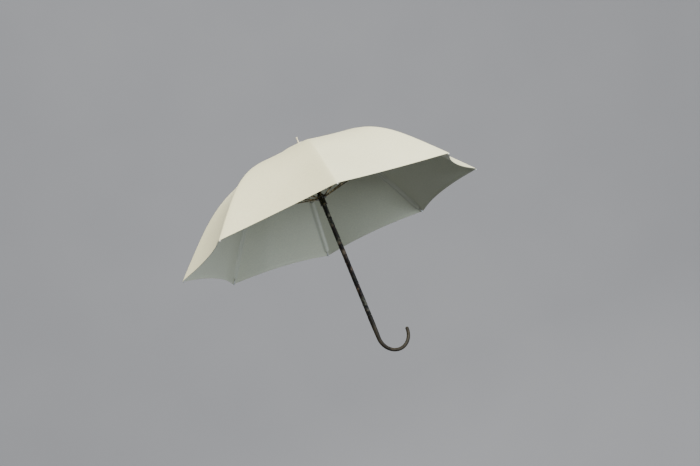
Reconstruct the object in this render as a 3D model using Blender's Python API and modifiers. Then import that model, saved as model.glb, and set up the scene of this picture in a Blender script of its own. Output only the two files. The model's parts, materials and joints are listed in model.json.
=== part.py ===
"""Crook-handled umbrella: eight curved ribs hinged at a top notch, eight stretchers to a sliding
runner, and a canopy of eight gores, each in two halves that meet on its fold line.

Metres, +Z up along the stick. The origin is the middle of the hand's grip, on the stick's axis.
The crook opens towards +X, half way between two ribs. The umbrella is modelled open.
"""

import math

import bmesh
import bpy
import numpy as np
from mathutils import Matrix, Vector

# Driving dimensions
RIBS = 8
CANOPY_RADIUS = 0.42  # from the stick's axis to a corner of the canopy
RIM_Z = 0.294  # the canopy's corners, above the grip
RIB_HEIGHTS = (  # share of the radius out, share of the radius up, along a rib's outer face
    (0.0, 0.563),
    (0.1, 0.546),
    (0.25, 0.495),
    (0.4, 0.460),
    (0.55, 0.405),
    (0.7, 0.305),
    (0.85, 0.161),
    (1.0, 0.0),
)
HEM_BOW = 0.045 * CANOPY_RADIUS  # how far a hem's middle is drawn in from a straight chord
HEM_CUT = 0.0095  # how much shorter the cloth is at a hem's middle, as a share of the radius
FABRIC = 0.0010
GAP = 0.0003
FABRIC_HOLE_SHARE = 0.012  # of the radius, round the ferrule

STICK_RADIUS = 0.0065
HOOK_TUBE_RADIUS = 0.0047
HOOK_RADIUS = 0.045  # of the crook's centreline
CROOK_START_Z = -0.031
HANDLE_TOP_Z = 0.031
CROOK_STEPS = 14
TAPER_LENGTH = 0.120  # along the handle, from its top

RIB_RADIUS = 0.0016
RIB_CLEARANCE = 0.0009  # more room under the cloth, for the tip's sleeve and the fork
STRETCHER_RADIUS = 0.0018
HINGE_RADIUS = 0.013  # of both wire rings that ribs and stretchers hang on
NOTCH_Z = RIM_Z + 0.2300  # the top wire ring's plane
RUNNER_Z = RIM_Z + 0.0780  # the runner's wire ring's plane, umbrella open
WIRE_RADIUS = 0.0006
EYE_HOLE = 0.00085
EYE_RADIUS = 0.0018
BLADE = 0.0014  # thickness of the flattened ends in the slots
BLADE_REACH = 0.009
BLADE_HALF = 0.00167  # half of a blade's height
CROWN_RADIUS = 0.0148
CROWN_HALF = 0.0032
SLOT_WIDTH = 0.0020
SLOT_DEPTH_RADIUS = 0.0096
RUNNER_WALL = 0.0016
RUNNER_BELOW = 0.022
RUNNER_ABOVE = 0.008
RUNNER_ROLL = 0.0012  # how far the rolled rim stands out

FORK_INNER = 0.00195
FORK_OUTER = 0.00295
FORK_LENGTH = 0.022
FORK_SLOT = 0.018
FORK_HEIGHT = 0.0042
RIVET_RADIUS = 0.00075
RIVET_HEAD_RADIUS = 0.0016
RIVET_HEAD = 0.0006
RIVET_HOLE = 0.0011
RIVET_DROP = 0.0022  # the rivet's centre under the rib's centreline
BOSS_RADIUS = 0.0023
BOSS_HALF = 0.0013

RIB_END_SHARE = 0.994  # of the radius, so that a tip ends level with the canopy's corner
TIP_BALL_RADIUS = 0.0024
TIP_SLEEVE_RADIUS = 0.0020
TIP_SLEEVE = 0.010
TIP_BORE = 0.0015
TIP_BORE_END = -0.0016  # from the ball's centre
RIB_END_RADIUS = 0.0010

FERRULE_RADIUS = 0.0023
SHANK_RADIUS = 0.0018
FERRULE_TIP_Z = RIM_Z + 0.2575
FERRULE_BALL_RADIUS = 0.0030
FERRULE_FLAT = 0.0012  # radius of the flat at the bulb's end
FERRULE_DEPTH = 0.020
CAP_RADIUS = 0.013
CAP_THICKNESS = 0.0009
CROWN_ROOM = 0.0030  # between the stick's end and the cloth, for the washer
WASHER_RADIUS = 0.0062
WASHER_THICKNESS = 0.0011

DOWEL_RADIUS = 0.0030
DOWEL_REACH = 0.014

FOLD = math.radians(58)  # how far every rib turns from open to closed

CATCH_HEIGHT = 0.014
CATCH_THICKNESS = 0.0018
CATCH_PROUD = 0.0024  # how far a catch's tooth stands out of the stick
CATCH_FOOT_Y = (0.0005, 0.0025)
CATCH_BACK_Y = 0.0035
CATCH_RAMP_START = 0.003  # above the foot
CATCH_RAMP_END = 0.010
POCKET_BACK_Y = -0.0030
STOP_PIN_RADIUS = 0.0010
STOP_PIN_PROUD = 0.0018

# Worked out
STEP = 2 * math.pi / RIBS
HALF_GORE = STEP / 2
FIRST_RIB = STEP / 2  # azimuth of rib_1, so that +X lies between two ribs
RIB_AZIMUTHS = [FIRST_RIB + k * STEP for k in range(RIBS)]

IVORY = (0.72, 0.70, 0.60)
STEEL = (0.60, 0.60, 0.58)
BRASS = (0.36, 0.31, 0.20)
CANE = (0.10, 0.075, 0.05)
CROOK = (0.06, 0.05, 0.04)
WHITE = (0.80, 0.79, 0.74)


# Scene and materials


def clear_scene():
    for obj in list(bpy.data.objects):
        bpy.data.objects.remove(obj)


def new_collection(name):
    collection = bpy.data.collections.new(name)
    bpy.context.scene.collection.children.link(collection)
    return collection


def material(name, colour, roughness, metallic=0.0):
    made = bpy.data.materials.new(name)
    made.use_nodes = True
    shader = made.node_tree.nodes["Principled BSDF"]
    shader.inputs["Base Color"].default_value = (*colour, 1)
    shader.inputs["Roughness"].default_value = roughness
    shader.inputs["Metallic"].default_value = metallic
    made.diffuse_color = (*colour, 1)
    return made


clear_scene()
UMBRELLA = new_collection("umbrella")
WORKSHOP = new_collection("cutters")
WORKSHOP.hide_render = True

CANOPY_CLOTH = material("canopy_cloth", IVORY, 0.6)
PAINTED_STEEL = material("painted_steel", BRASS, 0.45, 0.6)
IVORY_STEEL = material("ivory_steel", IVORY, 0.45, 0.1)
BRIGHT_STEEL = material("bright_steel", STEEL, 0.35, 1.0)
CANE_BARK = material("cane_bark", CANE, 0.6)
BENT_CANE = material("bent_cane", CROOK, 0.4)
IVORY_PLASTIC = material("ivory_plastic", WHITE, 0.4)


# Building blocks


def helper(name, mesh):
    """An object that only lends its shape."""
    obj = bpy.data.objects.new(name, mesh)
    WORKSHOP.objects.link(obj)
    obj.hide_render = True
    obj.display_type = "WIRE"
    return obj


def part(name, mesh, finish, origin=(0, 0, 0), azimuth=0.0):
    """A node: the mesh, in the part's own frame, turned about Z and put in place."""
    obj = bpy.data.objects.new(name, mesh)
    UMBRELLA.objects.link(obj)
    obj.location = origin
    obj.rotation_euler = (0, 0, azimuth)
    if finish.name not in mesh.materials:
        mesh.materials.append(finish)
    mesh.shade_smooth()
    mesh.set_sharp_from_angle(angle=math.radians(35))
    return obj


def evaluated_mesh(obj):
    """The object's mesh after its modifiers, welded and facing out; the object is removed."""
    graph = bpy.context.evaluated_depsgraph_get()
    graph.update()
    mesh = bpy.data.meshes.new_from_object(obj.evaluated_get(graph))
    work = bmesh.new()
    work.from_mesh(mesh)
    bmesh.ops.remove_doubles(work, verts=work.verts, dist=1e-6)
    bmesh.ops.recalc_face_normals(work, faces=work.faces)
    work.to_mesh(mesh)
    work.free()
    bpy.data.objects.remove(obj)
    return mesh


def combine(body, others, operation):
    """The body's mesh joined with, or cut by, each of the other helpers in turn."""
    for other in others:
        modifier = body.modifiers.new(operation.lower(), "BOOLEAN")
        modifier.operation = operation
        modifier.object = other
    mesh = evaluated_mesh(body)
    for other in others:
        bpy.data.objects.remove(other)
    return mesh


def box(low, high, turn=None):
    """A cuboid between two corners, then turned about the origin."""
    work = bmesh.new()
    bmesh.ops.create_cube(work, size=1)
    low, high = Vector(low), Vector(high)
    size = high - low
    bmesh.ops.transform(work, matrix=Matrix.Diagonal((*size, 1)), verts=work.verts)
    bmesh.ops.transform(work, matrix=Matrix.Translation((low + high) / 2), verts=work.verts)
    if turn:
        bmesh.ops.transform(work, matrix=turn, verts=work.verts)
    mesh = bpy.data.meshes.new("box")
    work.to_mesh(mesh)
    work.free()
    return helper("box", mesh)


def cylinder(centre, axis, radius, length, sides=12):
    """A round bar with its middle at centre."""
    work = bmesh.new()
    place = Matrix.Translation(centre) @ Vector(axis).to_track_quat("Z", "Y").to_matrix().to_4x4()
    bmesh.ops.create_cone(
        work, cap_ends=True, segments=sides, radius1=radius, radius2=radius, depth=length,
        matrix=place,
    )
    mesh = bpy.data.meshes.new("cylinder")
    work.to_mesh(mesh)
    work.free()
    return helper("cylinder", mesh)


def turned(profile, steps, ring=False):
    """A shape turned about Z. The profile holds (radius, z) and runs down its outer side."""
    mesh = bpy.data.meshes.new("turned")
    count = len(profile)
    edges = [(i, i + 1) for i in range(count - 1)]
    if ring:
        edges.append((count - 1, 0))
    mesh.from_pydata([(r, 0, z) for r, z in profile], edges, [])
    obj = helper("turned", mesh)
    screw = obj.modifiers.new("turn", "SCREW")
    screw.steps = screw.render_steps = steps
    screw.use_merge_vertices = True
    screw.merge_threshold = 1e-5
    return evaluated_mesh(obj)


def tube(points, radii, bevel_resolution=2):
    """A wire or rail of a changing radius through the points."""
    curve = bpy.data.curves.new("tube", "CURVE")
    curve.dimensions = "3D"
    curve.bevel_depth = 1.0
    curve.bevel_resolution = bevel_resolution
    curve.use_fill_caps = True
    line = curve.splines.new("POLY")
    line.points.add(len(points) - 1)
    for control, place, radius in zip(line.points, points, radii):
        control.co = (*place, 1)
        control.radius = radius
    obj = bpy.data.objects.new("tube", curve)
    WORKSHOP.objects.link(obj)
    return evaluated_mesh(obj)


def towards(angle):
    """A turn about Y that takes +X to this angle above the horizontal, in the XZ plane."""
    return Matrix.Rotation(-angle, 4, "Y")


# Rib and canopy curves


def natural_spline(knots):
    """The height and slope along a smooth curve through the knots, as two functions."""
    x, y = np.array(knots).T
    h = np.diff(x)
    count = len(x)
    system = np.eye(count)
    right = np.zeros(count)
    for i in range(1, count - 1):
        system[i, i - 1 : i + 2] = h[i - 1], 2 * (h[i - 1] + h[i]), h[i]
        right[i] = 6 * ((y[i + 1] - y[i]) / h[i] - (y[i] - y[i - 1]) / h[i - 1])
    bend = np.linalg.solve(system, right)

    def height(at):
        i = min(max(int(np.searchsorted(x, at)) - 1, 0), count - 2)
        left, rest = at - x[i], x[i + 1] - at
        return (
            (bend[i] * rest**3 + bend[i + 1] * left**3) / (6 * h[i])
            + (y[i] / h[i] - bend[i] * h[i] / 6) * rest
            + (y[i + 1] / h[i] - bend[i + 1] * h[i] / 6) * left
        )

    def slope(at, step=1e-4):
        return (height(at + step) - height(at - step)) / (2 * step)

    return height, slope


rib_height, rib_slope = natural_spline(RIB_HEIGHTS)
APEX_Z = RIM_Z + CANOPY_RADIUS * rib_height(0)
STICK_TOP_Z = APEX_Z - FABRIC - CROWN_ROOM


def under_fabric(share, depth):
    """(radius, z) at a depth below the canopy's outer face, in a rib's plane."""
    slope = rib_slope(share)
    across = math.hypot(slope, 1)
    radius = CANOPY_RADIUS * share + depth * slope / across
    return radius, RIM_Z + CANOPY_RADIUS * rib_height(share) - depth / across


def canopy_point(share, across, side, depth):
    """A point of the half gore on one side of a rib at azimuth 0.

    across is 0 at the rib and 1 at the gore's fold line; depth is below the outer face.
    """
    if share == 1.0:
        share -= HEM_CUT * across * (2 - across)
    radius = CANOPY_RADIUS * share
    fold = Vector((math.cos(HALF_GORE), math.sin(HALF_GORE), 0))
    chord = fold * radius * math.cos(HALF_GORE)
    bow = HEM_BOW * share**2 * across * (2 - across)
    place = Vector((radius, 0, 0)).lerp(chord, across) - fold * bow
    slope = rib_slope(share)
    turn = across * HALF_GORE
    outward = Vector((-slope * math.cos(turn), -slope * math.sin(turn), 1))
    place += Vector((0, 0, RIM_Z + CANOPY_RADIUS * rib_height(share)))
    place -= outward.normalized() * depth
    return Vector((place.x, place.y * side, place.z))


RIB_DEPTH = FABRIC + GAP + RIB_RADIUS + RIB_CLEARANCE
HINGE = (HINGE_RADIUS, NOTCH_Z)
RIB_SHARES = [0.06, 0.1, 0.15, 0.21, 0.28, 0.36, 0.44, 0.52, 0.59, 0.66, 0.73, 0.79, 0.85, 0.9, 0.95]
CANOPY_SHARES = [FABRIC_HOLE_SHARE, 0.035, *RIB_SHARES, 1.0]


def rib_curve():
    """(radius, z) points along a rib's centreline, from just past its blade to its end."""
    return [under_fabric(share, RIB_DEPTH) for share in [*RIB_SHARES, RIB_END_SHARE]]


def pivot_on_rib():
    """(radius, z) where the stretcher's rivet goes through, level with half the frame's height."""
    level = (NOTCH_Z + RUNNER_Z) / 2
    low, high = RIB_SHARES[1], 1.0
    for _ in range(40):
        middle = (low + high) / 2
        if under_fabric(middle, RIB_DEPTH + RIVET_DROP)[1] > level:
            low = middle
        else:
            high = middle
    return under_fabric(low, RIB_DEPTH + RIVET_DROP)


PIVOT = pivot_on_rib()
STRETCH_ANGLE = math.atan2(RUNNER_Z - PIVOT[1], HINGE_RADIUS - PIVOT[0])


# Root: stick, handle, ferrule, crown


def stick_mesh():
    bevel = 0.0008
    socket, socket_end = SHANK_RADIUS + GAP, STICK_TOP_Z - FERRULE_DEPTH - 0.002
    hole, hole_end = DOWEL_RADIUS + GAP, HANDLE_TOP_Z + DOWEL_REACH + 0.001
    profile = [
        (0, socket_end),
        (socket, socket_end),
        (socket, STICK_TOP_Z),
        (STICK_RADIUS - bevel, STICK_TOP_Z),
        (STICK_RADIUS, STICK_TOP_Z - bevel),
        (STICK_RADIUS, HANDLE_TOP_Z + GAP),
        (hole, HANDLE_TOP_Z + GAP),
        (hole, hole_end),
        (0, hole_end),
    ]
    body = helper("stick", turned(profile, 20))
    pockets = [catch_pocket(foot) for foot in (TOP_CATCH_Z, BOTTOM_CATCH_Z)]
    stop = cylinder((0, 0, STOP_PIN_Z), (0, 1, 0), STOP_PIN_RADIUS + GAP, 0.03)
    return combine(body, [*pockets, stop], "DIFFERENCE")


def crook_points():
    """Centreline and radius along the handle: straight, then half a circle towards +X."""
    straight = [HANDLE_TOP_Z, 0.02, 0.0, -0.015, CROOK_START_Z]
    arc = [math.pi * k / CROOK_STEPS for k in range(1, CROOK_STEPS + 1)]
    runs = [HANDLE_TOP_Z - z for z in straight]
    runs += [HANDLE_TOP_Z - CROOK_START_Z + HOOK_RADIUS * a for a in arc]
    points = [(0, 0, z) for z in straight]
    for a in arc:
        points.append((HOOK_RADIUS * (1 - math.cos(a)), 0, CROOK_START_Z - HOOK_RADIUS * math.sin(a)))
    radii = []
    for run in runs:
        share = min(run / TAPER_LENGTH, 1)
        share = share * share * (3 - 2 * share)
        radii.append(STICK_RADIUS + (HOOK_TUBE_RADIUS - STICK_RADIUS) * share)
    for rise, share in ((0.0022, 0.85), (0.0036, 0.55)):  # the rounded end
        points.append((2 * HOOK_RADIUS, 0, CROOK_START_Z + rise))
        radii.append(HOOK_TUBE_RADIUS * share)
    return points, radii


def crook_mesh():
    points, radii = crook_points()
    body = helper("crook", tube(points, radii, 4))
    socket = cylinder((0, 0, HANDLE_TOP_Z), (0, 0, 1), DOWEL_RADIUS + GAP, 2 * DOWEL_REACH + 0.002)
    return combine(body, [socket], "DIFFERENCE")


def dowel_mesh():
    low, high = HANDLE_TOP_Z - DOWEL_REACH, HANDLE_TOP_Z + DOWEL_REACH
    return turned([(0, high), (DOWEL_RADIUS, high), (DOWEL_RADIUS, low), (0, low)], 16)


def ferrule_mesh():
    """A pin down into the stick, a thin shank and a small bulb with a flat end."""
    start = math.asin(FERRULE_FLAT / FERRULE_BALL_RADIUS)
    end = math.pi - math.asin(SHANK_RADIUS / FERRULE_BALL_RADIUS)
    bulb = FERRULE_TIP_Z - FERRULE_BALL_RADIUS * math.cos(start)
    turn = [start + (end - start) * k / 7 for k in range(8)]
    collar = FERRULE_RADIUS + 0.0010
    profile = [(0, FERRULE_TIP_Z)]
    profile += [(FERRULE_BALL_RADIUS * math.sin(a), bulb + FERRULE_BALL_RADIUS * math.cos(a)) for a in turn]
    profile += [
        (SHANK_RADIUS, bulb - 0.007),
        (FERRULE_RADIUS, bulb - 0.010),
        (FERRULE_RADIUS, CROWN_CAP_TOP + 0.0012),
        (collar, CROWN_CAP_TOP + 0.0008),
        (collar, CROWN_CAP_TOP + GAP),
        (SHANK_RADIUS, CROWN_CAP_TOP + GAP),
        (SHANK_RADIUS, STICK_TOP_Z - FERRULE_DEPTH),
        (0, STICK_TOP_Z - FERRULE_DEPTH),
    ]
    return turned(profile, 16)


CROWN_CAP_TOP = APEX_Z + GAP + CAP_THICKNESS


def crown_cap_mesh():
    """A thin round cap over the canopy's centre, which follows its slope."""

    def above_canopy(radius, lift):
        return radius, RIM_Z + CANOPY_RADIUS * rib_height(radius / CANOPY_RADIUS) + GAP + lift

    stations = [SHANK_RADIUS + GAP, CAP_RADIUS / 2, CAP_RADIUS]
    profile = [above_canopy(r, CAP_THICKNESS) for r in stations[:-1]]
    profile += [above_canopy(CAP_RADIUS, CAP_THICKNESS * 0.5)]
    profile += [above_canopy(r, 0) for r in reversed(stations)]
    return turned(profile, 24, ring=True)


def crown_washer_mesh():
    """A flat washer between the stick's end and the canopy."""
    bore, rim = SHANK_RADIUS + GAP, WASHER_RADIUS
    low = STICK_TOP_Z + GAP
    high = low + WASHER_THICKNESS
    return turned([(bore, high), (rim, high), (rim, low), (bore, low)], 20, ring=True)


# Notch, runner and their wire rings


def crown_with_slots(profile, z):
    """A ring turned from the profile, with a slot for each blade."""
    body = helper("crown", turned(profile, 24, ring=True))
    slots = []
    for azimuth in RIB_AZIMUTHS:
        low = (SLOT_DEPTH_RADIUS, -SLOT_WIDTH / 2, -CROWN_HALF * 1.5)
        high = (CROWN_RADIUS * 1.5, SLOT_WIDTH / 2, CROWN_HALF * 1.5)
        slots.append(box(low, high, Matrix.Translation((0, 0, z)) @ Matrix.Rotation(azimuth, 4, "Z")))
    return combine(body, slots, "DIFFERENCE")


def grooved_rim(z):
    """The crown's outer side, top to bottom, with the groove that holds the wire ring."""
    floor, half = HINGE_RADIUS - WIRE_RADIUS - GAP, WIRE_RADIUS + GAP
    bevel = 0.0006
    return [
        (CROWN_RADIUS - bevel, z + CROWN_HALF),
        (CROWN_RADIUS, z + CROWN_HALF - bevel),
        (CROWN_RADIUS, z + half),
        (floor, z + half),
        (floor, z - half),
        (CROWN_RADIUS, z - half),
        (CROWN_RADIUS, z - CROWN_HALF + bevel),
        (CROWN_RADIUS - bevel, z - CROWN_HALF),
    ]


def top_notch_mesh():
    bore = STICK_RADIUS + GAP
    profile = [(bore, NOTCH_Z + CROWN_HALF), *grooved_rim(NOTCH_Z), (bore, NOTCH_Z - CROWN_HALF)]
    return crown_with_slots(profile, NOTCH_Z)


def runner_mesh():
    """The sliding tube with its crown above and a rolled rim at its lower end."""
    bore, wall = STICK_RADIUS + GAP, STICK_RADIUS + GAP + RUNNER_WALL
    top, bottom = RUNNER_Z + RUNNER_ABOVE, RUNNER_Z - RUNNER_BELOW
    profile = [
        (bore, top),
        (wall, top),
        (wall, RUNNER_Z + CROWN_HALF),
        *grooved_rim(RUNNER_Z),
        (wall, RUNNER_Z - CROWN_HALF),
        (wall, bottom + 2 * RUNNER_ROLL + 0.0010),
        (wall + RUNNER_ROLL, bottom + 2 * RUNNER_ROLL),
        (wall + RUNNER_ROLL, bottom),
        (bore, bottom),
    ]
    return crown_with_slots(profile, RUNNER_Z)


def wire_ring_mesh(z, sides=6, steps=32):
    turn = [-2 * math.pi * k / sides for k in range(sides)]
    profile = [(HINGE_RADIUS + WIRE_RADIUS * math.cos(a), z + WIRE_RADIUS * math.sin(a)) for a in turn]
    return turned(profile, steps, ring=True)


# Catches and stop pin. A catch is a flat tongue in a pocket, facing +Y and sprung outwards.

TOP_CATCH_Z = RUNNER_Z - RUNNER_BELOW - GAP - CATCH_HEIGHT
STOP_PIN_Z = RUNNER_Z + RUNNER_ABOVE + 3 * GAP + STOP_PIN_RADIUS


def link_length():
    return math.hypot(PIVOT[0] - HINGE_RADIUS, PIVOT[1] - NOTCH_Z)


RIB_TIP = under_fabric(RIB_END_SHARE, RIB_DEPTH)
PIVOT_POLAR = math.atan2(PIVOT[0] - HINGE_RADIUS, NOTCH_Z - PIVOT[1])
RUNNER_CLOSED_Z = NOTCH_Z - 2 * link_length() * math.cos(PIVOT_POLAR - FOLD)
BOTTOM_CATCH_Z = RUNNER_CLOSED_Z + RUNNER_ABOVE + GAP


def catch_outline(foot, upside_down):
    """(y, z) points round a catch: foot, ramp, tooth and back."""
    out = STICK_RADIUS + CATCH_PROUD
    foot_low, foot_high = CATCH_FOOT_Y
    rise = [
        (foot_high, 0.0),
        (STICK_RADIUS - GAP, CATCH_RAMP_START),
        (out, CATCH_RAMP_END),
        (out, CATCH_HEIGHT),
        (CATCH_BACK_Y, CATCH_HEIGHT),
        (foot_low, CATCH_RAMP_START),
        (foot_low, 0.0),
    ]
    if upside_down:
        return [(y, foot + CATCH_HEIGHT - z) for y, z in rise]
    return [(y, foot + z) for y, z in rise]


def catch_mesh(foot, upside_down):
    """The outline, extruded across the pocket's width."""
    work = bmesh.new()
    half = CATCH_THICKNESS / 2
    face = work.faces.new([work.verts.new((-half, y, z)) for y, z in catch_outline(foot, upside_down)])
    made = bmesh.ops.extrude_face_region(work, geom=[face])
    moved = [item for item in made["geom"] if isinstance(item, bmesh.types.BMVert)]
    bmesh.ops.translate(work, vec=(CATCH_THICKNESS, 0, 0), verts=moved)
    bmesh.ops.recalc_face_normals(work, faces=work.faces)
    mesh = bpy.data.meshes.new("catch")
    work.to_mesh(mesh)
    work.free()
    return mesh


def catch_pocket(foot):
    half = CATCH_THICKNESS / 2 + GAP
    low = (-half, POCKET_BACK_Y, foot - 2 * GAP)
    high = (half, STICK_RADIUS * 2, foot + CATCH_HEIGHT + 2 * GAP)
    return box(low, high)


def stop_pin_mesh():
    reach = STICK_RADIUS + STOP_PIN_PROUD
    return evaluated_mesh(cylinder((0, 0, STOP_PIN_Z), (0, 1, 0), STOP_PIN_RADIUS, 2 * reach))


# Ribs, tips and stretchers, each in its own frame with its hinge at the origin


def rib_mesh():
    """The wire along the curve, its blade and eye at the notch, and the boss for the rivet."""
    points = [(r - HINGE[0], 0, z - HINGE[1]) for r, z in rib_curve()]
    first = points[0]
    slope = math.atan2(first[2], first[0])
    turn = towards(slope)
    start = (BLADE_REACH * 0.7 * math.cos(slope), 0, BLADE_REACH * 0.7 * math.sin(slope))
    radii = [RIB_RADIUS] * len(points) + [RIB_END_RADIUS]
    body = helper("rib", tube([start, *points], radii, 1))
    blade = box((0, -BLADE / 2, -BLADE_HALF), (BLADE_REACH, BLADE / 2, BLADE_HALF), turn)
    eye = cylinder((0, 0, 0), (0, 1, 0), EYE_RADIUS, BLADE)
    pivot = (PIVOT[0] - HINGE[0], 0, PIVOT[1] - HINGE[1])
    boss = cylinder(pivot, (0, 1, 0), BOSS_RADIUS, 2 * BOSS_HALF)
    whole = helper("rib", combine(body, [blade, eye, boss], "UNION"))
    holes = [
        cylinder((0, 0, 0), (0, 1, 0), EYE_HOLE, BLADE * 4),
        cylinder(pivot, (0, 1, 0), RIVET_HOLE, BOSS_HALF * 6),
    ]
    return combine(whole, holes, "DIFFERENCE")


def tip_mesh():
    """A ball on a short sleeve, with the bore that takes the rib's end. It points along +X."""
    turn = [math.pi / 2 * k / 4 for k in range(5)]
    neck = math.acos(TIP_SLEEVE_RADIUS / TIP_BALL_RADIUS)
    ball = [(TIP_BALL_RADIUS * math.sin(a), TIP_BALL_RADIUS * math.cos(a)) for a in turn]
    ball += [(TIP_SLEEVE_RADIUS, -TIP_BALL_RADIUS * math.sin(neck))]
    mouth = -TIP_SLEEVE
    profile = [*ball, (TIP_SLEEVE_RADIUS, mouth), (TIP_BORE, mouth), (TIP_BORE, TIP_BORE_END)]
    profile.append((0, TIP_BORE_END))
    mesh = turned(profile, 12)
    mesh.transform(Matrix.Rotation(math.pi / 2, 4, "Y"))
    return mesh


def place_tip(name, mesh, azimuth):
    """The tip on the rib's end, in line with it."""
    radius, z = RIB_TIP
    before = under_fabric(RIB_SHARES[-1], RIB_DEPTH)
    angle = math.atan2(z - before[1], radius - before[0])
    reach = GAP - TIP_BORE_END
    radius, z = radius + reach * math.cos(angle), z + reach * math.sin(angle)
    tip = part(name, mesh, IVORY_PLASTIC)
    tip.matrix_world = (
        Matrix.Rotation(azimuth, 4, "Z") @ Matrix.Translation((radius, 0, z)) @ towards(angle)
    )
    return tip


def stretcher_mesh():
    """From the rivet at the origin to the eye on the runner's wire ring."""
    eye_place = Vector((HINGE_RADIUS - PIVOT[0], 0, RUNNER_Z - PIVOT[1]))
    turn = towards(STRETCH_ANGLE)
    length = eye_place.length
    direction = eye_place.normalized()
    wire = [direction * (FORK_SLOT + 0.0015), direction * (length - BLADE_REACH * 0.7)]
    body = helper("stretcher", tube(wire, [STRETCHER_RADIUS] * 2, 1))
    half = FORK_HEIGHT / 2
    joined = [
        box((0, -FORK_OUTER, -half), (FORK_LENGTH, FORK_OUTER, half), turn),
        cylinder((0, 0, 0), (0, 1, 0), half, 2 * FORK_OUTER),
        box((length - BLADE_REACH, -BLADE / 2, -BLADE_HALF), (length, BLADE / 2, BLADE_HALF), turn),
        cylinder(eye_place, (0, 1, 0), EYE_RADIUS, BLADE),
    ]
    whole = helper("stretcher", combine(body, joined, "UNION"))
    cuts = [
        box((-FORK_LENGTH, -FORK_INNER, -FORK_HEIGHT), (FORK_SLOT, FORK_INNER, FORK_HEIGHT), turn),
        cylinder(eye_place, (0, 1, 0), EYE_HOLE, BLADE * 4),
    ]
    forked = helper("stretcher", combine(whole, cuts, "DIFFERENCE"))
    heads = FORK_OUTER + RIVET_HEAD / 2 - 0.0001
    rivet = [
        cylinder((0, 0, 0), (0, 1, 0), RIVET_RADIUS, 2 * FORK_OUTER),
        cylinder((0, heads, 0), (0, 1, 0), RIVET_HEAD_RADIUS, RIVET_HEAD),
        cylinder((0, -heads, 0), (0, 1, 0), RIVET_HEAD_RADIUS, RIVET_HEAD),
    ]
    return combine(forked, rivet, "UNION")


# Canopy

GORE_COLUMNS = 2


def half_gore_mesh(side):
    """A thin closed sheet from just beside the rib's seam to just beside the fold line."""
    seam_gap = GAP / 2
    work = bmesh.new()
    grids = []
    for depth in (0.0, FABRIC):
        rows = []
        for share in CANOPY_SHARES:
            row = [canopy_point(share, k / GORE_COLUMNS, side, depth) for k in range(GORE_COLUMNS + 1)]
            row[0].y += side * seam_gap
            fold_side = Vector((math.sin(HALF_GORE), -side * math.cos(HALF_GORE), 0))
            row[-1] += fold_side * seam_gap
            rows.append([work.verts.new(place) for place in row])
        grids.append(rows)
    outer, inner = grids
    for rows in grids:
        for low, high in zip(rows, rows[1:]):
            for a, b, c, d in zip(low, low[1:], high[1:], high):
                work.faces.new((a, b, c, d))
    rim_outer, rim_inner = [border(rows) for rows in (outer, inner)]
    count = len(rim_outer)
    for k in range(count):
        after = (k + 1) % count
        work.faces.new((rim_outer[k], rim_outer[after], rim_inner[after], rim_inner[k]))
    bmesh.ops.recalc_face_normals(work, faces=work.faces)
    mesh = bpy.data.meshes.new("half_gore")
    work.to_mesh(mesh)
    work.free()
    return mesh


def border(rows):
    """The grid's outline, in order round it."""
    left = [row[0] for row in rows]
    right = [row[-1] for row in rows]
    return [*left, *rows[-1][1:-1], *reversed(right), *reversed(rows[0][1:-1])]


# Assembly


def build_root():
    part("stick", stick_mesh(), CANE_BARK)
    part("crook_handle", crook_mesh(), BENT_CANE)
    part("handle_dowel", dowel_mesh(), CANE_BARK)
    part("ferrule", ferrule_mesh(), IVORY_PLASTIC)
    part("crown_cap", crown_cap_mesh(), CANOPY_CLOTH)
    part("crown_washer", crown_washer_mesh(), BRIGHT_STEEL)
    part("top_notch", top_notch_mesh(), PAINTED_STEEL)
    part("notch_wire", wire_ring_mesh(NOTCH_Z), BRIGHT_STEEL)
    part("stop_pin", stop_pin_mesh(), BRIGHT_STEEL)


def build_runner():
    part("runner", runner_mesh(), PAINTED_STEEL)
    part("runner_wire", wire_ring_mesh(RUNNER_Z), BRIGHT_STEEL)
    part("top_catch", catch_mesh(TOP_CATCH_Z, False), BRIGHT_STEEL)
    part("bottom_catch", catch_mesh(BOTTOM_CATCH_Z, True), BRIGHT_STEEL)


def build_frame():
    rib, tip, stretcher = rib_mesh(), tip_mesh(), stretcher_mesh()
    for number, azimuth in enumerate(RIB_AZIMUTHS, 1):
        about = Matrix.Rotation(azimuth, 4, "Z")
        part(f"rib_{number}", rib, IVORY_STEEL, about @ Vector((HINGE[0], 0, HINGE[1])), azimuth)
        place_tip(f"rib_tip_{number}", tip, azimuth)
        pivot = about @ Vector((PIVOT[0], 0, PIVOT[1]))
        part(f"stretcher_{number}", stretcher, PAINTED_STEEL, pivot, azimuth)


def build_canopy():
    """Panel n spans from rib n to the next one: half_a is on rib n, half_b on the next."""
    halves = {"a": half_gore_mesh(1), "b": half_gore_mesh(-1)}
    for number, azimuth in enumerate(RIB_AZIMUTHS, 1):
        part(f"panel_{number}_half_a", halves["a"], CANOPY_CLOTH, azimuth=azimuth)
        part(f"panel_{number}_half_b", halves["b"], CANOPY_CLOTH, azimuth=azimuth + STEP)


build_root()
build_runner()
build_frame()
build_canopy()
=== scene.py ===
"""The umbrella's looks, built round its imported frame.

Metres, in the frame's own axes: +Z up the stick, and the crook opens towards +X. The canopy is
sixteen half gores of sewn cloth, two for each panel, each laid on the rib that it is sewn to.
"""

import json
import math

import bmesh
import bpy
import numpy as np
from mathutils import Matrix, Vector, noise

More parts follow.
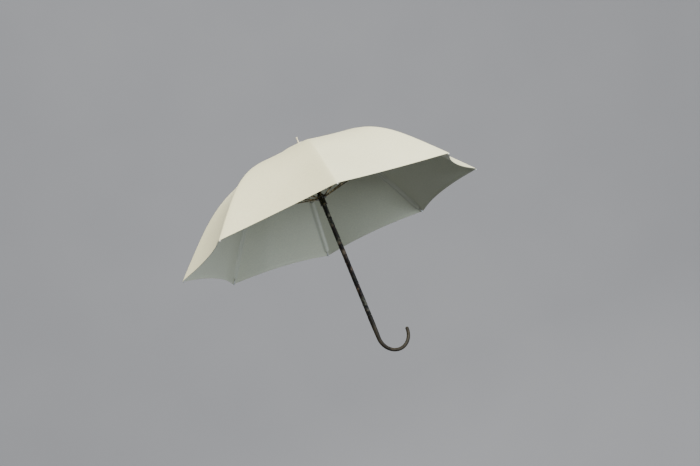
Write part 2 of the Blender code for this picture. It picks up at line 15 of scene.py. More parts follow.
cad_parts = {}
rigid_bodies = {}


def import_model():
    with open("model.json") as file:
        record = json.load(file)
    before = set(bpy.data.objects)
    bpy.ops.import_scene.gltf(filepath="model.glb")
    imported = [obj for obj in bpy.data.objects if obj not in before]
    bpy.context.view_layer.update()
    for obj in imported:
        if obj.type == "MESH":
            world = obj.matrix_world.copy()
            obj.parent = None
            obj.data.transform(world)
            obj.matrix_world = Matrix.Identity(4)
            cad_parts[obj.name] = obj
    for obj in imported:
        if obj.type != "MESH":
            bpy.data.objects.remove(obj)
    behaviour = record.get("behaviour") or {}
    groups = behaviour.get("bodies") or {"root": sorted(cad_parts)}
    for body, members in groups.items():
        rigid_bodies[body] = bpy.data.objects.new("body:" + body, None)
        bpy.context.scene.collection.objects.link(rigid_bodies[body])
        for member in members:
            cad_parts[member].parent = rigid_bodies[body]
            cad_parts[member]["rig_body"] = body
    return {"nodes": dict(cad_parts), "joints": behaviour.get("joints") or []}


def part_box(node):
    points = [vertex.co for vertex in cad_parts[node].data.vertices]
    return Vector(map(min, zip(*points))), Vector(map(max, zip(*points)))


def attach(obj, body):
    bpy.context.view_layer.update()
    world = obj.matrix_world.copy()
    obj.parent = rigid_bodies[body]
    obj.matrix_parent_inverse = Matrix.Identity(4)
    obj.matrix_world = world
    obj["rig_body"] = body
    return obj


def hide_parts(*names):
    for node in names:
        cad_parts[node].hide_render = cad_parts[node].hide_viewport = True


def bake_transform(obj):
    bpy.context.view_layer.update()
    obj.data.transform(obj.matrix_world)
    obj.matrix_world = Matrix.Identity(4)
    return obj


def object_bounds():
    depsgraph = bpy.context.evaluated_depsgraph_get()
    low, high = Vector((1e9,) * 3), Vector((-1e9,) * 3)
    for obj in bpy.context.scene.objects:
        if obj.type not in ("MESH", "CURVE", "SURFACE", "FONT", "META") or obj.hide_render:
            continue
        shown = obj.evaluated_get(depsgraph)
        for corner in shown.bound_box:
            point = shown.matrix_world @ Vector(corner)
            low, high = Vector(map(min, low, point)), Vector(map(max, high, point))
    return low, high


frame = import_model()
CAD_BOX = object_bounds()
JOINTS = {joint["name"]: joint for joint in frame["joints"]}
NODES = frame["nodes"]

# The canopy's shape, as the frame has it
RIBS = 8
STEP = 2 * math.pi / RIBS
HALF_GORE = STEP / 2
RIB_HEIGHTS = (  # share of the radius out, share of the radius up, along a rib's outer face
    (0.0, 0.563),
    (0.1, 0.546),
    (0.25, 0.495),
    (0.4, 0.460),
    (0.55, 0.405),
    (0.7, 0.305),
    (0.85, 0.161),
    (1.0, 0.0),
)
HEM_BOW_SHARE = 0.045  # how far a hem's middle is drawn in, as a share of the radius
HEM_CUT = 0.0095  # how much shorter the cloth is at a hem's middle, as a share of the radius
HEM_CUT_STARTS = 0.78  # share of the radius from which the rows bend towards the cut
HEM_CUT_ENDS = 0.97  # share of the radius from which they follow it
HOLE_SHARE = 0.012  # of the radius, round the ferrule
RIB_DEPTH = 0.0038  # a rib's centreline under the cloth's outer face

# The cloth
CLOTH = 0.0004
HEM_WIDTH = 0.007
HEM_THICKNESS = 0.0008
SEAM_WIDTH = 0.0032
SEAM_THICKNESS = 0.0008
FOLD_EDGE = 0.0006  # over which the cloth grows thicker at a hem or seam
RIDGE = 0.0042  # how far the cloth's ridge over a rib is flattened
RIDGE_ROUND = 0.0090  # how wide its rounding is, to each side
RIDGE_SPREAD = 0.6  # share of a half gore over which the rounding dies out
RIDGE_GROWS = 0.12  # share of the radius at which the ridge has half of its rounding
SEAM_ROW = 0.0083  # from the rib, where a sleeve is sewn to the cloth
RIB_SEAM_ROW = 0.0024  # from the rib, where two gores are sewn together
SLEEVE_HALF = 0.0098  # width of the sleeve over a rib, to each side
SLEEVE_CLOTH = 0.0003
SLEEVE_ROOM = 0.0021  # from a rib's centreline to the sleeve round it
SLEEVE_RUNS = ((0.13, 0.545), (0.665, 0.972))  # shares of the radius, with a gap at the fork
PUCKER = 0.00016
PUCKER_LENGTH = 0.021
PUCKER_REACH = 0.012
STITCH_PITCH = 0.0034
STITCH_LENGTH = 0.0021
STITCH_RADIUS = 0.00016
HEM_STITCHES = 0.72  # share of the hem's width from its edge to the line of stitches
SEAM_FREE = 0.03  # length of a rib's seam without stitches, most of it at the crown
SEAM_STARTS = 0.025  # the first stitch's place along the rib


def first_rib_azimuth():
    place = Vector(JOINTS["canopy_fold"]["pos_m"])
    return math.atan2(place.y, place.x)


RIB_AZIMUTHS = [first_rib_azimuth() + k * STEP for k in range(RIBS)]


def canopy_corner():
    """The radius and height of the canopy's corners."""
    points = [v.co for v in NODES["panel_1_half_a"].data.vertices]
    corner = max(points, key=lambda p: p.xy.length)
    return corner.xy.length, corner.z


CANOPY_RADIUS, RIM_Z = canopy_corner()


# Materials

WEAVE_SCALE = 620.0  # bands for each metre, over the wave texture's own factor


def shader_material(name, roughness, metallic=0.0, coat=0.0, sheen=0.0):
    made = bpy.data.materials.new(name)
    made.use_nodes = True
    shader = made.node_tree.nodes["Principled BSDF"]
    shader.inputs["Roughness"].default_value = roughness
    shader.inputs["Metallic"].default_value = metallic
    shader.inputs["Coat Weight"].default_value = coat
    shader.inputs["Coat Roughness"].default_value = 0.25
    shader.inputs["Sheen Weight"].default_value = sheen
    return made, made.node_tree, shader


def node(tree, kind, **inputs):
    """A shader node, with its input sockets set by name."""
    made = tree.nodes.new(kind)
    for name, value in inputs.items():
        made.inputs[name.replace("_", " ")].default_value = value
    return made


def coordinates(tree, source="Object", scale=(1, 1, 1)):
    place = tree.nodes.new("ShaderNodeTexCoord")
    mapping = tree.nodes.new("ShaderNodeMapping")
    mapping.inputs["Scale"].default_value = scale
    tree.links.new(place.outputs[source], mapping.inputs["Vector"])
    return mapping.outputs["Vector"]


def ramp(tree, source, *stops):
    """Colours along a value from 0 to 1; each stop is (place, colour)."""
    made = tree.nodes.new("ShaderNodeValToRGB")
    elements = made.color_ramp.elements
    while len(elements) < len(stops):
        elements.new(0.5)
    for element, (at, colour) in zip(elements, stops):
        element.position = at
        element.color = (*colour, 1)
    tree.links.new(source, made.inputs["Fac"])
    return made.outputs["Color"]


def noise_value(tree, vector, scale, detail=3.0, roughness=0.5):
    made = node(tree, "ShaderNodeTexNoise", Scale=scale, Detail=detail, Roughness=roughness)
    tree.links.new(vector, made.inputs["Vector"])
    return made.outputs["Fac"]


def grey(value):
    return (value, value, value)


def bump(tree, shader, height, distance, strength=1.0, under=None):
    made = node(tree, "ShaderNodeBump", Strength=strength, Distance=distance)
    tree.links.new(height, made.inputs["Height"])
    if under:
        tree.links.new(under, made.inputs["Normal"])
    tree.links.new(made.outputs["Normal"], shader.inputs["Normal"])
    return made.outputs["Normal"]


def mix(tree, share, a, b, blend="MIX"):
    """Colour a with b over it; share is a number or a socket."""
    made = tree.nodes.new("ShaderNodeMix")
    made.data_type = "RGBA"
    made.blend_type = blend
    sockets = {s.identifier: s for s in made.inputs}
    if isinstance(share, float):
        sockets["Factor_Float"].default_value = share
    else:
        tree.links.new(share, sockets["Factor_Float"])
    tree.links.new(a, sockets["A_Color"])
    tree.links.new(b, sockets["B_Color"])
    return next(s for s in made.outputs if s.identifier == "Result_Color")


def cloth_material(name, pale, shade):
    """Oiled cloth: ivory with faint clouds, a fine weave and a soft shine."""
    made, tree, shader = shader_material(name, 0.46, sheen=0.04)
    shader.inputs["Specular IOR Level"].default_value = 0.22
    place = coordinates(tree)
    clouds = noise_value(tree, place, 9.0, 4.0, 0.55)
    flecks = noise_value(tree, place, 240.0, 2.0, 0.6)
    colour = ramp(tree, clouds, (0.32, shade), (0.70, pale))
    fine = ramp(tree, flecks, (0.35, grey(0.93)), (0.65, grey(1.0)))
    colour = mix(tree, 1.0, colour, fine, "MULTIPLY")
    tree.links.new(colour, shader.inputs["Base Color"])
    shine = ramp(tree, clouds, (0.3, grey(0.40)), (0.7, grey(0.52)))
    tree.links.new(shine, shader.inputs["Roughness"])
    thread = coordinates(tree, "UV")
    warp, weft = [wave(tree, thread, direction) for direction in ("X", "Y")]
    weave = mix(tree, 0.5, warp, weft)
    normal = bump(tree, shader, weave, 0.00006, 0.5)
    bump(tree, shader, clouds, 0.0012, 0.25, normal)
    return made


def wave(tree, vector, direction):
    """Fine bands across this direction, one for each thread of the weave."""
    made = node(tree, "ShaderNodeTexWave", Scale=WEAVE_SCALE, Distortion=0.6, Detail=1.0)
    made.wave_type = "BANDS"
    made.bands_direction = direction
    tree.links.new(vector, made.inputs["Vector"])
    return made.outputs["Color"]


def bark_material():
    """Cane with its bark on: dark brown, with pale tan patches that are partly the bark's own
    mottling and partly painted highlights, and dark pits.
    """
    made, tree, shader = shader_material("cane_bark", 0.6)
    shader.inputs["Specular IOR Level"].default_value = 0.3
    long_grain = coordinates(tree, scale=(1, 1, 0.28))
    place = coordinates(tree)
    scales = node(tree, "ShaderNodeTexVoronoi", Scale=210.0, Randomness=0.9)
    tree.links.new(long_grain, scales.inputs["Vector"])
    mottle_and_painted_highlight = noise_value(tree, place, 75.0, 4.0, 0.6)
    fibres = noise_value(tree, long_grain, 900.0, 3.0, 0.6)
    # The pale tan stops at 0.60 are painted highlights as well as the bark's lighter mottling.
    dark = ramp(
        tree, mottle_and_painted_highlight,
        (0.44, (0.007, 0.007, 0.004)), (0.52, (0.034, 0.031, 0.018)), (0.60, (0.20, 0.180, 0.115)),
    )
    red = ramp(
        tree, mottle_and_painted_highlight,
        (0.44, (0.011, 0.007, 0.004)), (0.52, (0.048, 0.026, 0.014)), (0.60, (0.24, 0.145, 0.075)),
    )
    tint = noise_value(tree, place, 21.0, 1.0, 0.4)
    base = mix(tree, ramp(tree, tint, (0.46, grey(0.0)), (0.56, grey(1.0))), dark, red)
    edges = ramp(tree, scales.outputs["Distance"], (0.1, grey(1.0)), (0.75, grey(0.45)))
    colour = mix(tree, 0.8, base, edges, "MULTIPLY")
    fine = ramp(tree, fibres, (0.3, grey(0.75)), (0.7, grey(1.0)))
    colour = mix(tree, 0.9, colour, fine, "MULTIPLY")
    tree.links.new(colour, shader.inputs["Base Color"])
    shine = ramp(tree, mottle_and_painted_highlight, (0.3, grey(0.75)), (0.7, grey(0.42)))
    tree.links.new(shine, shader.inputs["Roughness"])
    normal = bump(tree, shader, scales.outputs["Distance"], 0.0004, 0.5)
    bump(tree, shader, fibres, 0.00025, 0.6, normal)
    return made


def crook_material():
    """Bent cane with the bark peeled off: darker and smoother, with long fibres."""
    made, tree, shader = shader_material("bent_cane", 0.5)
    shader.inputs["Specular IOR Level"].default_value = 0.2
    along = coordinates(tree, "UV", (30, 1, 1))
    place = coordinates(tree)
    fibres = noise_value(tree, along, 26.0, 4.0, 0.6)
    clouds = noise_value(tree, place, 38.0, 3.0, 0.5)
    base = ramp(tree, clouds, (0.35, (0.011, 0.009, 0.006)), (0.68, (0.045, 0.037, 0.026)))
    fine = ramp(tree, fibres, (0.3, grey(0.62)), (0.7, grey(1.0)))
    colour = mix(tree, 0.9, base, fine, "MULTIPLY")
    tree.links.new(colour, shader.inputs["Base Color"])
    shine = ramp(tree, fibres, (0.3, grey(0.62)), (0.7, grey(0.45)))
    tree.links.new(shine, shader.inputs["Roughness"])
    bump(tree, shader, fibres, 0.00012, 0.5)
    return made


def painted_material(name, paint, worn_and_highlight, roughness, metallic, worn_and_highlight_level=0.66):
    """Lacquer over wire, with small spots of a second colour: worn paint, which on the olive
    lacquer is also a painted highlight.
    """
    made, tree, shader = shader_material(name, roughness, metallic)
    place = coordinates(tree)
    clouds = noise_value(tree, place, 140.0, 5.0, 0.65)
    # The spots are wear; the pale tan spots on the olive lacquer are also painted highlights.
    colour = ramp(tree, clouds, (0.0, paint), (worn_and_highlight_level - 0.03, paint), (worn_and_highlight_level + 0.03, worn_and_highlight))
    tree.links.new(colour, shader.inputs["Base Color"])
    shine = ramp(tree, clouds, (0.3, grey(roughness)), (0.8, grey(roughness * 0.7)))
    tree.links.new(shine, shader.inputs["Roughness"])
    bump(tree, shader, clouds, 0.00008, 0.5)
    return made


def steel_material():
    """Brushed steel, with lines across the stick."""
    made, tree, shader = shader_material("bright_steel", 0.3, 1.0)
    place = coordinates(tree, scale=(1, 1, 6))
    lines = noise_value(tree, place, 700.0, 3.0, 0.6)
    colour = ramp(tree, lines, (0.3, grey(0.45)), (0.7, (0.66, 0.66, 0.64)))
    tree.links.new(colour, shader.inputs["Base Color"])
    shine = ramp(tree, lines, (0.3, grey(0.42)), (0.7, grey(0.25)))
    tree.links.new(shine, shader.inputs["Roughness"])
    bump(tree, shader, lines, 0.00003, 0.4)
    return made


def ivory_material(name, colour, shade, roughness):
    """Ivory colour with a faint grain up and down, for turned parts and thread."""
    made, tree, shader = shader_material(name, roughness, coat=0.2)
    place = coordinates(tree, scale=(1, 1, 0.2))
    grain = noise_value(tree, place, 420.0, 4.0, 0.6)
    base = ramp(tree, grain, (0.3, shade), (0.7, colour))
    tree.links.new(base, shader.inputs["Base Color"])
    shine = ramp(tree, grain, (0.3, grey(roughness * 1.3)), (0.7, grey(roughness * 0.9)))
    tree.links.new(shine, shader.inputs["Roughness"])
    bump(tree, shader, grain, 0.00004, 0.4)
    return made


CLOTH_MATERIAL = cloth_material("canopy_cloth", (0.82, 0.80, 0.605), (0.79, 0.77, 0.57))
SLEEVE_MATERIAL = cloth_material("sleeve_cloth", (0.82, 0.80, 0.64), (0.795, 0.775, 0.60))
THREAD = ivory_material("sewing_thread", (0.80, 0.77, 0.66), (0.66, 0.62, 0.50), 0.7)
BARK = bark_material()
BENT_CANE = crook_material()
RIB_PAINT = painted_material("ivory_lacquer", (0.66, 0.64, 0.55), (0.42, 0.40, 0.33), 0.42, 0.0)
# Its pale tan spots are partly worn brass and partly painted highlights.
FRAME_PAINT = painted_material(
    "olive_lacquer", (0.095, 0.070, 0.024), (0.55, 0.43, 0.21), 0.30, 0.7, worn_and_highlight_level=0.55
)
HUB_PAINT = painted_material(
    "black_lacquer", (0.022, 0.020, 0.010), (0.36, 0.29, 0.13), 0.34, 0.5, worn_and_highlight_level=0.60
)
STEEL = steel_material()
FERRULE_IVORY = ivory_material("ferrule_ivory", (0.72, 0.68, 0.58), (0.50, 0.44, 0.34), 0.35)
TIP_WHITE = ivory_material("tip_white", (0.82, 0.81, 0.76), (0.72, 0.70, 0.64), 0.30)


# Mesh helpers

OWN_SHARP = math.radians(38)  # edges sharper than this stay sharp
CAD_SHARP = math.radians(35)
CAD_FLAT = math.radians(0.5)
CAD_WELD = 1e-6


def new_object(name, mesh, material):
    obj = bpy.data.objects.new(name, mesh)
    bpy.context.scene.collection.objects.link(obj)
    mesh.materials.clear()
    mesh.materials.append(material)
    return obj


def mesh_from(vertices, faces, uvs=None):
    """A smooth mesh; uvs gives one pair for each vertex."""
    mesh = bpy.data.meshes.new("mesh")
    mesh.from_pydata([tuple(v) for v in vertices], [], faces)
    if uvs is not None:
        layer = mesh.uv_layers.new(name="cloth")
        for loop in mesh.loops:
            layer.data[loop.index].uv = uvs[loop.vertex_index]
    work = bmesh.new()
    work.from_mesh(mesh)
    bmesh.ops.recalc_face_normals(work, faces=work.faces)
    work.to_mesh(mesh)
    work.free()
    mesh.shade_smooth()
    mesh.set_sharp_from_angle(angle=OWN_SHARP)
    return mesh


def about_z(azimuth):
    return Matrix.Rotation(azimuth, 4, "Z")


def smoothstep(x):
    x = min(max(x, 0.0), 1.0)
    return x * x * (3 - 2 * x)


def ring_faces(rows, around, closed=True):
    """Quads between rows of vertices numbered one after another."""
    faces = []
    for i in range(rows - 1):
        for k in range(around if closed else around - 1):
            after = (k + 1) % around
            a, b = i * around + k, i * around + after
            faces.append((a, b, b + around, a + around))
    return faces


def capped(faces, rows, around):
    """The faces with the first and the last ring closed."""
    first = tuple(range(around))
    last = tuple((rows - 1) * around + k for k in reversed(range(around)))
    return [*faces, first, last]


# The canopy's curves


def natural_spline(knots):
    """The height and slope along a smooth curve through the knots, as two functions."""
    x, y = np.array(knots).T
    h = np.diff(x)
    count = len(x)
    system = np.eye(count)
    right = np.zeros(count)
    for i in range(1, count - 1):
        system[i, i - 1 : i + 2] = h[i - 1], 2 * (h[i - 1] + h[i]), h[i]
        right[i] = 6 * ((y[i + 1] - y[i]) / h[i] - (y[i] - y[i - 1]) / h[i - 1])
    bend = np.linalg.solve(system, right)

    def height(at):
        i = min(max(int(np.searchsorted(x, at)) - 1, 0), count - 2)
        left, rest = at - x[i], x[i + 1] - at
        return (
            (bend[i] * rest**3 + bend[i + 1] * left**3) / (6 * h[i])
            + (y[i] / h[i] - bend[i] * h[i] / 6) * rest
            + (y[i + 1] / h[i] - bend[i + 1] * h[i] / 6) * left
        )

    def slope(at, step=1e-4):
        return (height(at + step) - height(at - step)) / (2 * step)

    return height, slope


rib_height, rib_slope = natural_spline(RIB_HEIGHTS)


def under_cloth(share, depth):
    """(radius, z) at a depth below the canopy's outer face, in a rib's plane."""
    slope = rib_slope(share)
    across = math.hypot(slope, 1)
    radius = CANOPY_RADIUS * share + depth * slope / across
    return radius, RIM_Z + CANOPY_RADIUS * rib_height(share) - depth / across


def run_along_rib(steps=400):
    """A table of (share, length of cloth from the centre) along a rib."""
    table, length = [(0.0, 0.0)], 0.0
    for k in range(1, steps + 1):
        share = k / steps
        length += CANOPY_RADIUS / steps * math.hypot(1, rib_slope(share - 0.5 / steps))
        table.append((share, length))
    return np.array(table)


RIB_RUN = run_along_rib()
RIB_LENGTH = RIB_RUN[-1, 1]


def run_at(share):
    """The length of cloth from the centre to this share of the radius."""
    return float(np.interp(share, RIB_RUN[:, 0], RIB_RUN[:, 1]))


def share_at(run):
    """The share of the radius at this length of cloth from the centre."""
    return float(np.interp(run, RIB_RUN[:, 1], RIB_RUN[:, 0]))


def half_width(share):
    """From a rib to the middle of the gore, square to the rib."""
    return CANOPY_RADIUS * share * math.cos(HALF_GORE) * math.sin(HALF_GORE)


def cloth_point(share, across, side, depth):
    """A point of the half gore on one side of a rib at azimuth 0.

    across is 0 at the rib and 1 at the middle of the gore; depth is below the outer face.
    """
    bend = smoothstep((share - HEM_CUT_STARTS) / (HEM_CUT_ENDS - HEM_CUT_STARTS))
    share -= HEM_CUT * across * (2 - across) * bend
    radius = CANOPY_RADIUS * share
    y = across * half_width(share)
    early = share / (share + RIDGE_GROWS)
    rounding = (RIDGE_ROUND - RIDGE) * (1 - smoothstep(across / RIDGE_SPREAD))
    x = radius - math.tan(HALF_GORE) * (math.hypot(y, RIDGE_ROUND * early) - rounding * early)
    bow = HEM_BOW_SHARE * CANOPY_RADIUS * share**2 * across * (2 - across)
    slope = rib_slope(share)
    turn = across * HALF_GORE
    outward = Vector((-slope * math.cos(turn), -slope * math.sin(turn), 1)).normalized()
    place = Vector((x - bow * math.cos(HALF_GORE), y - bow * math.sin(HALF_GORE), 0))
    place.z = RIM_Z + CANOPY_RADIUS * rib_height(share)
    waves = math.sin(2 * math.pi * run_at(share) / PUCKER_LENGTH)
    near_rib = math.exp(-y / PUCKER_REACH) * smoothstep(y / 0.003) * smoothstep(share * 5)
    place += outward * (PUCKER * waves * near_rib - depth)
    return Vector((place.x, place.y * side, place.z))


def inner_depth(share, across):
    """The cloth's thickness: doubled in the hem and in the seam on the rib."""
    to_edge = RIB_LENGTH - run_at(share)
    from_rib = across * half_width(share)
    hem = 1 - smoothstep((to_edge - HEM_WIDTH) / FOLD_EDGE)
    seam = 1 - smoothstep((from_rib - SEAM_WIDTH) / FOLD_EDGE)
    seam *= smoothstep(share * 12)
    return CLOTH + max(hem * (HEM_THICKNESS - CLOTH), seam * (SEAM_THICKNESS - CLOTH))


GORE_ROWS = 66
GORE_COLUMNS = 22


def gore_shares():
    """Shares of the radius for the rows, with a close pair on each side of the hem's fold."""
    hem = [HEM_WIDTH + FOLD_EDGE, HEM_WIDTH, HEM_WIDTH / 2, HEM_THICKNESS, 0.0]
    last = share_at(RIB_LENGTH - HEM_WIDTH - 0.004)
    shares = [HOLE_SHARE + (last - HOLE_SHARE) * k / GORE_ROWS for k in range(GORE_ROWS + 1)]
    return [*shares, *(share_at(RIB_LENGTH - run) for run in hem)]


def gore_columns():
    """Places across a half gore, closer together near the rib."""
    return [(k / GORE_COLUMNS) ** 1.6 for k in range(GORE_COLUMNS + 1)]


def sheet_faces(rows, columns, outer, inner):
    """The faces of a thin closed sheet between two grids, which start at these vertices."""
    grid = ring_faces(rows, columns, closed=False)
    faces = [tuple(outer + i for i in face) for face in grid]
    faces += [tuple(inner + i for i in reversed(face)) for face in grid]
    edge = [k * columns for k in range(rows)]
    edge += [(rows - 1) * columns + k for k in range(1, columns)]
    edge += [k * columns + columns - 1 for k in reversed(range(rows - 1))]
    edge += [k for k in reversed(range(1, columns - 1))]
    for a, b in zip(edge, [*edge[1:], edge[0]]):
        faces.append((outer + b, outer + a, inner + a, inner + b))
    return faces


def half_gore_mesh(side):
    """The cloth on one side of a rib at azimuth 0, with both faces and its edge."""
    shares, columns = gore_shares(), gore_columns()
    vertices, uvs = [], []
    for face in (0, 1):
        for share in shares:
            run = run_at(share)
            for across in columns:
                depth = inner_depth(share, across) if face else 0.0
                place = cloth_point(share, across, side, depth)
                vertices.append(place)
                uvs.append((place.y, run))
    rows, around = len(shares), len(columns)
    return mesh_from(vertices, sheet_faces(rows, around, 0, rows * around), uvs)


def stitch(vertices, faces, middle, along, outward):
    """One stitch: a small spindle that stands half out of the cloth."""
    first = len(vertices)
    beside = along.cross(outward)
    half, thick = STITCH_LENGTH / 2, STITCH_RADIUS
    vertices += [middle - along * half, middle + along * half]
    vertices += [middle + outward * thick, middle + beside * thick]
    vertices += [middle - outward * thick, middle - beside * thick]
    for k in range(4):
        a, b = first + 2 + k, first + 2 + (k + 1) % 4
        faces += [(first, a, b), (first + 1, b, a)]


def stitches_mesh(side):
    """The hem's line of stitches and the seam's, on both faces of a half gore."""
    vertices, faces = [], []

    def add(share, across, step, inside):
        for depth, lift in ((0.0, 1), (inside, -1)):
            here = cloth_point(share, across, side, depth)
            there = cloth_point(share + step[0], across + step[1], side, depth)
            aside = cloth_point(share - step[1] * 0.5, across + step[0] * 0.5, side, depth)
            along = (there - here).normalized()
            outward = (along.cross(aside - here) * side).normalized()
            if outward.z < 0:
                outward.negate()
            stitch(vertices, faces, here, along, outward * lift)

    hem_share = share_at(RIB_LENGTH - HEM_WIDTH * HEM_STITCHES)
    count = int(half_width(1.0) / STITCH_PITCH)
    for k in range(count):
        across = (k + 0.5) / count
        add(hem_share, across, (0.0, 0.004), inner_depth(hem_share, across))
    count = int((RIB_LENGTH - SEAM_FREE) / STITCH_PITCH)
    for k in range(count):
        share = share_at(SEAM_STARTS + k * STITCH_PITCH)
        if any(low < share < high for low, high in SLEEVE_RUNS):
            inside = sleeve_depth(SEAM_ROW) + SLEEVE_CLOTH
            add(share, SEAM_ROW / half_width(share), (0.004, 0.0), inside)
        else:
            across = min(RIB_SEAM_ROW / half_width(share), 0.6)
            add(share, across, (0.004, 0.0), inner_depth(share, across))
    return mesh_from(vertices, faces)


def sleeve_depth(from_rib):
    """How far a sleeve's outer face lies under the cloth's: round the rib, then up to the cloth."""
    top, bottom = CLOTH + 0.0001, RIB_DEPTH + SLEEVE_ROOM
    return bottom + (top - bottom) * smoothstep(from_rib / SLEEVE_HALF)


def sleeve_mesh(side, columns=13, row_step=0.006):
    """Half of the sleeve over a rib: two thin strips, with a gap where the stretcher's fork is."""
    vertices, faces, uvs = [], [], []
    for low, high in SLEEVE_RUNS:
        start, end = run_at(low), run_at(high)
        rows = round((end - start) / row_step) + 1
        grids = []
        for thickness in (0.0, SLEEVE_CLOTH):
            grids.append(len(vertices))
            for i in range(rows):
                run = start + (end - start) * i / (rows - 1)
                share = share_at(run)
                for k in range(columns):
                    y = SLEEVE_HALF * k / (columns - 1)
                    depth = sleeve_depth(y) + thickness
                    vertices.append(cloth_point(share, y / half_width(share), side, depth))
                    uvs.append((y, run))
        faces += sheet_faces(rows, columns, *grids)
    return mesh_from(vertices, faces, uvs)


def build_canopy():
    """Half a goes on the rib of its panel's number, half b on the next rib."""
    for half, side in (("a", 1), ("b", -1)):
        sources = half_gore_mesh(side), stitches_mesh(side), sleeve_mesh(side)
        for number, azimuth in enumerate(RIB_AZIMUTHS, 1):
            panel = number if half == "a" else (number - 2) % RIBS + 1
            lay_half_gore(panel, half, number, azimuth, sources)


def lay_half_gore(panel, half, rib, azimuth, sources):
    """One half of a panel: cloth, stitches and half a sleeve, on the rib at this azimuth."""
    turn = about_z(azimuth)
    node_name = f"panel_{panel}_half_{half}"
    names = (f"gore_{panel}_{half}", f"gore_{panel}_{half}_stitches", f"rib_sleeve_{rib}_{half}")
    for name, source, finish in zip(names, sources, (CLOTH_MATERIAL, THREAD, SLEEVE_MATERIAL)):
        mesh = source.copy()
        mesh.transform(turn)
        piece = new_object(name, mesh, finish)
        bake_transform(piece)
    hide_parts(node_name)


# Stick and crook

STICK_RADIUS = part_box("stick")[1].x
STICK_LOW, STICK_HIGH = (corner.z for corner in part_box("stick"))
STICK_ROWS = 430
STICK_SIDES = 56
STICK_ARRIS = 0.0004  # how much narrower the stick's two ends are
BARK_INSET = 0.0004  # of the bark's mean face, inside the stick's own radius
BARK_RISE = 0.00012  # the most that bark stands out past that radius
KNOT_SPACING = 0.062


def bark_radius(z, angle):
    """The stick's radius: cane with growth rings, bark in scales and small pits."""
    place = Vector((math.cos(angle), math.sin(angle), 0)) * STICK_RADIUS
    broad = noise.noise(Vector((place.x * 90, place.y * 90, z * 38)))
    scales = noise.noise(Vector((place.x * 260, place.y * 260, z * 120 + 7)))
    fine = noise.noise(Vector((place.x * 700, place.y * 700, z * 420 + 3)))
    tilt = 0.0016 * math.cos(angle + z * 31)
    phase = (z + tilt) / KNOT_SPACING + 0.35 * noise.noise(Vector((0, 0, z * 9)))
    from_ring = abs(phase - round(phase)) * KNOT_SPACING
    ring = 0.00034 * math.exp(-((from_ring / 0.0022) ** 2))
    groove = -0.00030 * math.exp(-(((from_ring - 0.0042) / 0.0011) ** 2))
    relief = 0.00042 * broad + 0.00030 * scales + 0.00012 * fine + ring + groove
    return min(STICK_RADIUS - BARK_INSET + relief, STICK_RADIUS + BARK_RISE)


def stick_mesh():
    """The whole stick, before the pockets for the catches are cut."""
    vertices, uvs = [], []
    for i in range(STICK_ROWS):
        z = STICK_LOW + (STICK_HIGH - STICK_LOW) * i / (STICK_ROWS - 1)
        for k in range(STICK_SIDES):
            angle = 2 * math.pi * k / STICK_SIDES
            radius = bark_radius(z, angle)
            if i in (0, STICK_ROWS - 1):
                radius -= STICK_ARRIS
            vertices.append((radius * math.cos(angle), radius * math.sin(angle), z))
            uvs.append((k / STICK_SIDES, z))
    faces = capped(ring_faces(STICK_ROWS, STICK_SIDES), STICK_ROWS, STICK_SIDES)
    return mesh_from(vertices, faces, uvs)


def swept(points, radii, wobble, sides=28):
    """A round rail along points in the XZ plane, closed by its first and last rings.

    wobble gives the relief at a run and an angle; the rail's thin end has none.
    """
    vertices, uvs, run = [], [], 0.0
    for i, (place, radius) in enumerate(zip(points, radii)):
        before, after = points[max(i - 1, 0)], points[min(i + 1, len(points) - 1)]
        along = (after - before).normalized()
        side = Vector((0, 1, 0))
        up = along.cross(side).normalized()
        run += (place - before).length
        for k in range(sides):
            angle = 2 * math.pi * k / sides
            out = radius + (wobble(run, angle) if radius > 0.003 else 0)
            vertices.append(place + (side * math.sin(angle) + up * math.cos(angle)) * out)
            uvs.append((k / sides, run))
    faces = capped(ring_faces(len(points), sides), len(points), sides)
    return mesh_from(vertices, faces, uvs)


CROOK_LOW, CROOK_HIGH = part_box("crook_handle")
CROOK_END_RADIUS = 0.0047
CROOK_RADIUS = (CROOK_HIGH.x - CROOK_END_RADIUS) / 2
CROOK_START_Z = CROOK_LOW.z + CROOK_RADIUS + CROOK_END_RADIUS
CROOK_TAPER = 0.120
CROOK_STEPS = 190
CROOK_NOSE = 0.0036  # height of the rounded end
CROOK_NOSE_STEPS = 8
CROOK_ARRIS = 0.0006  # how much narrower the crook is at its joint with the stick
CROOK_RINGS = (0.052, 0.101, 0.143, 0.178)  # runs from that joint


def crook_mesh():
    """Straight, then half a circle towards +X, with a rounded end and faint growth rings."""
    straight = CROOK_HIGH.z - CROOK_START_Z
    length = straight + math.pi * CROOK_RADIUS
    points, radii = [], []
    for i in range(CROOK_STEPS + 1):
        run = length * i / CROOK_STEPS
        if run < straight:
            points.append(Vector((0, 0, CROOK_HIGH.z - run)))
        else:
            angle = (run - straight) / CROOK_RADIUS
            x = CROOK_RADIUS * (1 - math.cos(angle))
            points.append(Vector((x, 0, CROOK_START_Z - CROOK_RADIUS * math.sin(angle))))
        share = smoothstep(run / CROOK_TAPER)
        radius = STICK_RADIUS + (CROOK_END_RADIUS - STICK_RADIUS) * share
        radii.append(radius - CROOK_ARRIS * math.exp(-run / CROOK_ARRIS))
    for k in range(1, CROOK_NOSE_STEPS + 1):
        angle = math.pi / 2 * k / CROOK_NOSE_STEPS
        rise = CROOK_NOSE * math.sin(angle)
        points.append(Vector((2 * CROOK_RADIUS, 0, CROOK_START_Z + rise)))
        radii.append(max(CROOK_END_RADIUS * math.cos(angle), 0.0004))

    def wobble(run, angle):
        rings = sum(math.exp(-(((run - at) / 0.0016) ** 2)) for at in CROOK_RINGS)
        lumps = noise.noise(Vector((math.cos(angle) * 0.8, math.sin(angle) * 0.8, run * 60)))
        return 0.00016 * rings + 0.00014 * lumps - 0.0001

    return swept(points, radii, wobble)


